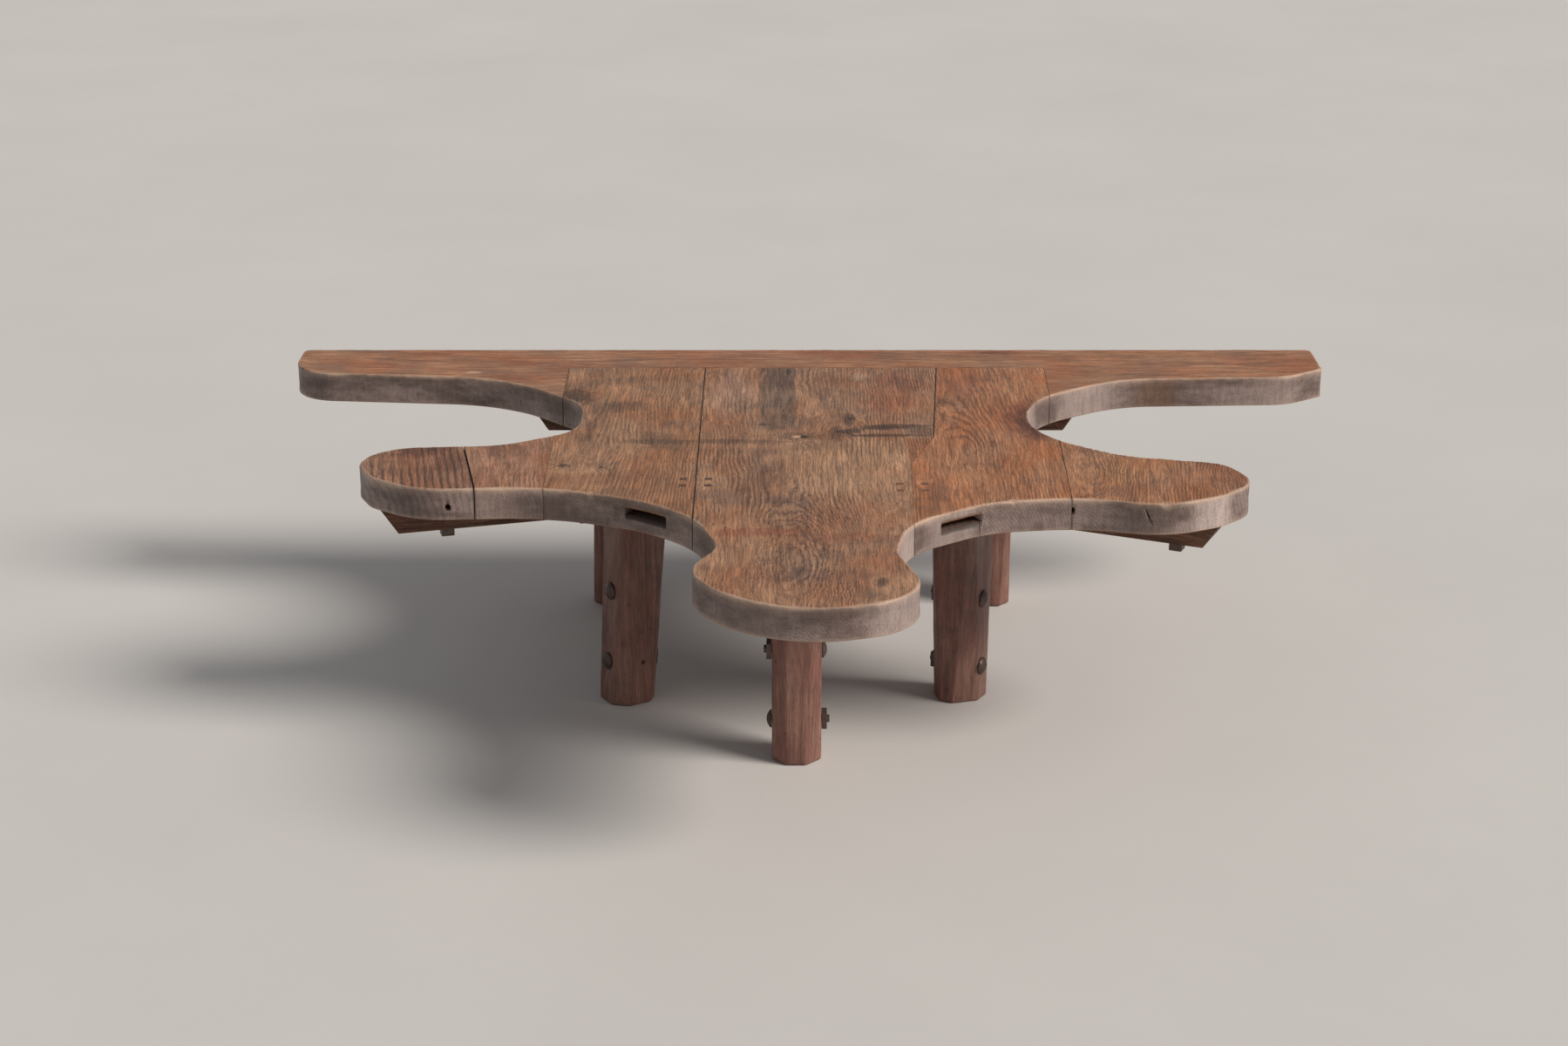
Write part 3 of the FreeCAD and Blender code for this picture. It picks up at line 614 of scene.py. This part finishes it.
# the left side lobe: its outer board has strong ridges where the hard lines stand up
lobe_ridged = old_wood(
    "ridged_softwood_lobe", (-690, 0, 392, 10.3, 1.0), ("#A97C60", "#98664A", "#775547", "#3F281E"),
    rings=11.0, lines=0.85, relief=1.0, edges=edge_tones, marks=(
        ("stain", -607, 66, 52, 46, 10, 0.7, "#5E382C"), ("stain", -556, -5, 34, 50, 10, 0.55, "#643D2E"),
        ("stain", -690, -30, 40, 60, 10, 0.4, "#B08665")))
lay_board("board_left_outer", lobe_ridged, nicks=((-0.66, -0.2, 0.008),),
          tools=[edge_hole(-0.548, -0.139, TOP - 0.029, 90.0)])
lobe_plain = old_wood(
    "plain_softwood_lobe", (-470, 0, 400, 6.0, -1.5), ("#A97C60", "#9C6649", "#7B5A48", "#4A2D20"),
    rings=6.0, lines=0.5, edges=edge_tones, marks=(
        ("stain", -480, 55, 46, 46, 20, 0.5, "#6E4533"), ("stain", -500, -60, 30, 50, 0, 0.35, "#7A4E39"),
        ("edge", -490, -125, 60, 30, 0, 0.5, "#8F7A70")))
lay_board("board_left_lobe", lobe_plain, nicks=((-0.45, -0.118, 0.006),))

left_wood = old_wood(
    "oiled_softwood_left", (-330, 0, 385, 0.0, 2.0), ("#A77C5C", "#9A6847", "#7A5F4C", "#4E3225"),
    rings=5.0, lines=0.6, edges=edge_tones, marks=(
        ("knot", -381, -18, 34, 44, 0, 26, "#3A241A"), ("knot", -322, -26, 15, 20, 0, 8, "#3A241A"),
        ("stain", -402, 325, 52, 80, -20, 0.8, "#3D2B23"), ("stain", -308, 292, 52, 34, 10, 0.55, "#5F4838"),
        ("stain", -237, 110, 40, 60, 30, 0.55, "#5A4436"), ("stain", -240, 104, 100, 15, -2, 0.55, "#4B392F"),
        ("stain", -381, -18, 7, 7, 0, 0.95, "#C9A484"), ("stain", -300, 150, 40, 90, 0, 0.3, "#B08866"),
        ("stain", -230, 380, 46, 80, 0, 0.3, "#A9805F"), ("stain", -340, -80, 90, 30, 0, 0.35, "#80543B"),
        ("stain", -300, 440, 90, 26, 4, 0.35, "#6B4C3B")))
lay_board("board_left", left_wood, nicks=((-0.215, -0.24, 0.006), (-0.33, -0.15, 0.005)),
          tools=[mortise(-0.251, -0.202, 61.0), nail_hole(-0.181, -0.172, 0.0025),
                 nail_hole(-0.375, -0.018, 0.0035)])

# the centre board: a spike knot with its dark streaks, the grey print of something that
# stood at the back, a pale zone right of a dark hairline, and arches towards the front
centre_wood = old_wood(
    "oiled_softwood_centre", (-20, -500, 344, 0.0, 1.6), ("#AA8061", "#9D6B4B", "#7B5F4F", "#533528"),
    rings=4.8, lines=0.76, edges=edge_tones, marks=(
        ("stain", -125, 370, 44, 150, 0, 0.45, "#A88472"), ("stain", 32, 405, 34, 100, 0, 0.5, "#6A4D3E"),
        ("stain", 145, 380, 66, 130, 0, 0.5, "#8E5036"), ("stain", 85, 467, 14, 26, 0, 0.5, "#BE9A86"),
        ("print", 54, -15, 100, 132, 0, 0.5, "#B58D6C"), ("stain", -78, -70, 36, 150, 0, 0.4, "#745744"),
        ("print", -46, -50, 2.0, 120, 0, 0.35, "#563B2C"), ("stain", -57, -183, 20, 20, 0, 0.6, "#664E40"),
        ("print", 180, 56, 27, 66, 0, 0.8, "#9C6440"), ("stain", -80, -325, 92, 22, 2, 0.5, "#86452C"),
        ("stain", 60, -350, 90, 26, 0, 0.4, "#8A4F36"), ("stain", -20, -440, 90, 60, 0, 0.35, "#7E6350"),
        ("stain", 0, -505, 100, 26, 0, 0.4, "#75584A"), ("stain", -18, -487, 14, 22, 0, 0.7, "#574639"),
        ("stain", 94, -532, 10, 22, 0, 0.8, "#4A3327"), ("stain", 110, -430, 40, 60, 0, 0.4, "#975C40"),
        ("print", -51, 350, 29, 185, 0, 0.62, "#5F5045"), ("stain", -45, 430, 22, 70, 0, 0.5, "#4F433B"),
        ("stain", -75, 194, 12, 8, 0, 0.7, "#3F2D24"), ("stain", -120, 104, 100, 15, -2, 0.55, "#4B392F"),
        ("stain", -20, 133, 44, 24, 0, 0.55, "#55402F"), ("stain", 132, 182, 70, 16, 4, 0.85, "#3B271E"),
        ("stain", 118, 136, 84, 9, 0, 0.8, "#412B21"), ("stain", 66, 158, 26, 16, 20, 0.8, "#3A261D"),
        ("stain", 43, 140, 14, 52, 0, 0.7, "#483229"), ("stain", 176, 162, 24, 30, 10, 0.6, "#473329"),
        ("stain", 64, 222, 11, 42, 0, 0.75, "#48332A"), ("stain", 104, 158, 22, 7, 0, 0.7, "#B08B70"),
        ("stain", 10, 80, 60, 26, 0, 0.35, "#6B5140"), ("knot", -21, 129, 26, 34, 0, 20, "#C9A380"),
        ("stain", -9, 129, 9, 9, 0, 0.95, "#1C120D"), ("knot", 46, 156, 24, 30, 0, 17, "#3A241A"),
        ("knot", 67, 226, 20, 30, 0, 14, "#3A251C"), ("oval", -6, -470, 74, 220, 0, -44, None),
        ("oval", -20, -112, 20, 46, 0, -7, None), ("stain", -33, 491, 5, 24, 0, 0.85, "#35271F"),
        # the two pale edge patches are painted highlights on the lit right part of the front lobe's edge, and
        # the dark one is painted shade on its left part
        ("edge", 150, -330, 50, 60, 0, 0.7, "#B5A199"), ("edge", 130, -590, 70, 60, 0, 0.6, "#A8958E"),
        ("edge", -90, -600, 70, 60, 0, 0.4, "#5B4A42")))
lay_board("board_centre", centre_wood,
          nicks=((0.053, -0.616, 0.007), (0.155, -0.36, 0.006), (-0.16, -0.33, 0.005)),
          tools=[nail_hole(-0.146, -0.289, 0.003), nail_hole(-0.128, -0.305, 0.0026),
                 nail_hole(0.023, -0.498, 0.0032)])

right_wood = old_wood(
    "oiled_softwood_right", (250, 0, 362, 0.0, -1.6), ("#B07C58", "#A4663F", "#865F49", "#56321F"),
    rings=5.0, lines=0.62, edges=edge_tones, marks=(
        ("oval", 262, 70, 34, 130, 0, -11, None), ("stain", 372, 222, 84, 130, 0, 0.6, "#7C4430"),
        ("stain", 374, 212, 56, 104, 0, 0.8, "#4A271E"), ("stain", 270, 420, 60, 110, 0, 0.45, "#8D5238"),
        ("stain", 192, -150, 30, 60, 0, 0.5, "#75503C"), ("stain", 300, -90, 60, 90, 0, 0.3, "#B98560"),
        # the two pale edge patches are painted highlights on the lit edges of the cut-outs
        ("edge", 370, 260, 40, 60, 0, 0.7, "#AE9A93"), ("edge", 205, -235, 60, 50, 0, 0.5, "#A8958E")))
lay_board("board_right", right_wood, nicks=((0.36, -0.167, 0.006), (0.30, -0.185, 0.005)),
          tools=[mortise(0.220, -0.223, 120.0), split(0.252, -0.211, 0.379, 115.0, 3, 0.030)])
right_lobe_wood = old_wood(
    "oiled_softwood_right_lobe", (430, 0, 366, -4.0, 2.4), ("#B07F5C", "#A26842", "#855F49", "#573323"),
    rings=4.8, lines=0.7, edges=edge_tones, marks=(
        ("oval", 446, -50, 34, 120, 0, -24, None), ("oval", 620, 20, 40, 80, 0, -10, None),
        ("stain", 480, -60, 40, 60, 0, 0.4, "#BC9068"), ("stain", 610, -60, 70, 60, 0, 0.4, "#8E5539"),
        ("stain", 500, 70, 160, 24, 3, 0.5, "#7A4F36"), ("stain", 640, 60, 60, 30, -6, 0.45, "#7C5038"),
        # the pale edge patch is a hand-burnished place painted pale as its highlight, and the dark one is
        # painted shade on the edge of the front cut-out
        ("edge", 620, -180, 60, 40, 0, 0.8, "#BDAAA2"), ("edge", 500, -205, 50, 40, 0, 0.5, "#57463E")))
lay_board("board_right_outer", right_lobe_wood,
          nicks=((0.39, -0.18, 0.006), (0.528, -0.195, 0.009), (0.58, -0.22, 0.006), (0.62, -0.2, 0.005)),
          rough=((0.45, 0.10, 0.12, 0.004), (0.62, 0.09, 0.12, 0.003)),
          tools=[edge_hole(0.388, -0.179, TOP - 0.018, 90.0), split(0.500, -0.208, 0.394, 90.0, 24, 0.034)])


# Battens and the spikes that hold them
# Three bars of the same softwood, rough from the saw, lie flat under the slab with
# their outer ends bevelled. Hand-forged spikes go up through them into the boards.
def softened(node, name, width):
    """A copy of a CAD node whose sharp edges are rounded by the given width."""
    mesh = bmesh.new()
    mesh.from_mesh(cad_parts[node].data)
    bmesh.ops.remove_doubles(mesh, verts=mesh.verts, dist=SAME_PLACE)
    bmesh.ops.dissolve_limit(mesh, angle_limit=math.radians(1), verts=mesh.verts, edges=mesh.edges)
    data = bpy.data.meshes.new(name)
    mesh.to_mesh(data)
    mesh.free()
    piece = bpy.data.objects.new(name, data)
    scene.collection.objects.link(piece)
    rounding = piece.modifiers.new("rounding", "BEVEL")
    rounding.width = width
    rounding.segments = 3
    rounding.limit_method = "ANGLE"
    rounding.angle_limit = math.radians(35)
    piece.data = bpy.data.meshes.new_from_object(piece.evaluated_get(bpy.context.evaluated_depsgraph_get()))
    piece.modifiers.clear()
    piece.data.name = name
    piece.data.polygons.foreach_set("use_smooth", [False] * len(piece.data.polygons))
    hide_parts(node)
    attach(piece, "root")
    return piece


# each bar with x and y of the pith of its tree, in millimetres, and the turn of its grain
for node, x, y, turn in (("batten_front_left", -337, 54, -74.1), ("batten_front_right", 327, 24, 66.4),
                         ("batten_rear", 0, 493, 90.0)):
    rough_sawn = old_wood("rough_sawn_" + node, (x, y, 300, turn, 0.6),
                          ("#7A5843", "#6E452F", "#5A4436", "#36221A"),
                          rings=6.0, lines=0.6, relief=1.0, gloss=0.66)
    softened(node, node + "_rounded", 0.0025).data.materials.append(rough_sawn)

# forged iron, hammered uneven: dark and half bright from old oil, dull and browner where
# rust has bloomed in spots of about 6 mm
iron = bpy.data.materials.new("forged_iron_rusted")
iron.use_nodes = True
forge = iron.node_tree
scale = add(forge, "TexCoord", {}, "Object")
bloom = add(forge, "TexNoise", {"Vector": scale, "Scale": 170.0, "Detail": 5.0, "Roughness": 0.65})
rust = add(forge, "MapRange", [bloom, 0.4, 0.62])
skin = add(forge, "Mix", {"Factor": rust, "A": linear("#5A5250"), "B": linear("#5C473C")}, "Result",
           data_type="RGBA")
worn_skin = add(forge, "MapRange", [rust, 0.0, 1.0, 0.34, 0.62])
hammered = add(forge, "Bump", {"Height": bloom, "Strength": 0.5, "Distance": 0.0008})
for output, socket in ((skin, "Base Color"), (worn_skin, "Roughness"), (hammered, "Normal")):
    forge.links.new(output, forge.nodes["Principled BSDF"].inputs[socket])
forge.nodes["Principled BSDF"].inputs["Metallic"].default_value = 0.65
softened("batten_spikes", "batten_spikes_forged", 0.0012).data.materials.append(iron)


# Legs
# Five square posts of a reddish hardwood, pared with a drawknife. Each corner has a
# chamfer of its own that widens to the foot, and two of the legs lean a little. A
# tenon on top of each goes up into a batten or the slab.
LEG_SIDE = 76.0  # the sizes of the legs are in millimetres
FOOT_ROUNDING = 5.0
CORNER_ROUNDING = 3.0
RUN_ON = 12.0  # the chamfers are laid out from this far below the foot to as far above the shoulder
LEG_ROWS = 44
MEAN_RADIUS = 45.0  # turns an angle into a way round the leg
# x and y of the top and of the foot, turn, height, and the chamfers at the foot and at the
# top as parts of the side, from the front left corner round
LEGS = {
    "leg_front": ((-22.0, -181.7), (-22.0, -181.7), 0.0, 365.0,
                  (0.29, 0.31, 0.30, 0.30), (0.26, 0.04, 0.04, 0.04)),
    "leg_mid_left": ((-274.8, 61.8), (-293.2, 51.7), 31.0, 325.0,
                     (0.30, 0.21, 0.21, 0.22), (0.03, 0.03, 0.03, 0.03)),
    "leg_mid_right": ((240.6, 59.9), (240.6, 59.9), -28.0, 325.0,
                      (0.30, 0.43, 0.21, 0.25), (0.03, 0.05, 0.03, 0.03)),
    "leg_rear_left": ((-328.4, 499.8), (-334.5, 499.8), 0.0, 325.0, (0.24,) * 4, (0.03,) * 4),
    "leg_rear_right": ((312.6, 497.2), (312.6, 497.2), 0.0, 325.0, (0.24,) * 4, (0.03,) * 4),
}


def pared_leg(name):
    """A leg as rows of rounded octagons from the shoulder to the foot.

    Each side of the octagon is a straight run between two corners; every corner is a
    small curve between the points where the runs stop, and shallow hollows of the
    drawknife move the sides in by up to a millimetre. The last rows round the foot.
    """
    (top_x, top_y), (foot_x, foot_y), turn, height, foot, top = LEGS[name]
    foot_curve = np.radians(np.linspace(0, 90, 5))
    rise = np.concatenate([np.linspace(height, FOOT_ROUNDING, LEG_ROWS),
                           FOOT_ROUNDING - FOOT_ROUNDING * np.sin(foot_curve[1:])])
    pinch = np.concatenate([np.zeros(LEG_ROWS), FOOT_ROUNDING * (1 - np.cos(foot_curve[1:]))])[:, None, None]
    share = ((rise + RUN_ON) / (height + 2 * RUN_ON))[:, None]
    cut = (np.array(foot) * (1 - share) + np.array(top) * share) * LEG_SIDE
    half = LEG_SIDE / 2
    signs = np.array([(-1, -1), (1, -1), (1, 1), (-1, 1)])
    corners = np.empty((len(rise), 8, 2))
    for k, (sx, sy) in enumerate(signs):
        along_y = np.column_stack([np.full(len(rise), sx * half), sy * (half - cut[:, k])])
        along_x = np.column_stack([sx * (half - cut[:, k]), np.full(len(rise), sy * half)])
        corners[:, 2 * k], corners[:, 2 * k + 1] = (along_y, along_x) if k % 2 == 0 else (along_x, along_y)
    before, after = np.roll(corners, 1, 1) - corners, np.roll(corners, -1, 1) - corners
    to_before, to_after = [np.linalg.norm(run, axis=2, keepdims=True) for run in (before, after)]
    ease = np.minimum(CORNER_ROUNDING, 0.45 * np.minimum(to_before, to_after))
    first = corners + before / to_before * ease
    last = corners + after / to_after * ease
    loop = []
    for k in range(8):
        for t in (0.0, 0.25, 0.5, 0.75, 1.0):
            loop.append(first[:, k] * (1 - t) ** 2 + corners[:, k] * 2 * t * (1 - t) + last[:, k] * t ** 2)
        for t in (0.25, 0.5, 0.75):
            loop.append(last[:, k] * (1 - t) + first[:, (k + 1) % 8] * t)
    loop = np.stack(loop, 1)
    reach = np.linalg.norm(loop, axis=2, keepdims=True)
    way_round = np.arctan2(loop[..., 1], loop[..., 0]) * MEAN_RADIUS
    hollow = 0.45 * (1 + uneven(way_round, rise[:, None] * 0.4 + top_x, 34.0, top_y))[..., None]
    loop = loop * (1 - (hollow + pinch) / reach)
    cos, sin = math.cos(math.radians(turn)), math.sin(math.radians(turn))
    grid = np.empty(loop.shape[:2] + (3,))
    down = (1 - rise / height)[:, None]
    grid[..., 0] = loop[..., 0] * cos - loop[..., 1] * sin + top_x + (foot_x - top_x) * down
    grid[..., 1] = loop[..., 0] * sin + loop[..., 1] * cos + top_y + (foot_y - top_y) * down
    grid[..., 2] = rise[:, None]
    # of the eight points of each corner and run, the middle three of the curve are rubbed
    arris = np.zeros(loop.shape[:2])
    arris[:, [k for k in range(loop.shape[1]) if k % 8 in (1, 2, 3)]] = 1.0
    piece = closed_piece(name + "_pared", grid / 1000, arris)
    if name == "leg_mid_left":
        # an old nail hole of 6 mm in the face towards the front
        bore(piece, [cutter(unit_ring * 0.003, [(-0.003, 0.0012), (0.0, 0.001), (0.002, 0.0), (0.014, 0.0)],
                            121.0, (-0.2642, 0.025, 0.0712))])
    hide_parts(name)
    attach(piece, "root")
    return piece


for name, (top, _, turn, *_) in LEGS.items():
    hardwood = old_wood("reddish_hardwood_" + name, (top[0] + 55, top[1] + 30, 0, turn, 90.0),
                        ("#8A6557", "#7C5044", "#5F4841", "#3A231D"),
                        rings=5.0, lines=0.4, streaks=0.6, relief=0.7, gloss=0.5)
    pared_leg(name).data.materials.append(hardwood)


# Bolts and nuts
# Dome-headed bolts of half an inch go through the front and middle legs, each with a
# rough square nut and a stub of thread behind it. They are black with old oil and rust.
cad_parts["leg_bolts"].data.materials.clear()
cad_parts["leg_bolts"].data.materials.append(iron)
softened("leg_nuts", "leg_nuts_rounded", 0.0012).data.materials.append(iron)


# Loose tongues and pegs
# Flat tongues lie across the two seams of the centre board. Square pegs driven down
# through them, flush with the top, show their end grain, dark at the left seam and
# nearly as pale as the boards at the right one.
peg_end = old_wood("peg_end_grain", (-170, -97, 415, 20.0, 90.0),
                   ("#5F4535", "#523726", "#4A382D", "#2A1A14"),
                   rings=3.0, lines=0.6, marks=(("print", 155, -97, 80, 90, 0, 0.75, "#8A5C40"),), gloss=0.6)
for node in ("tongue_pegs", "loose_tongues"):
    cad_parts[node].data.materials.clear()
    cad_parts[node].data.materials.append(peg_end)
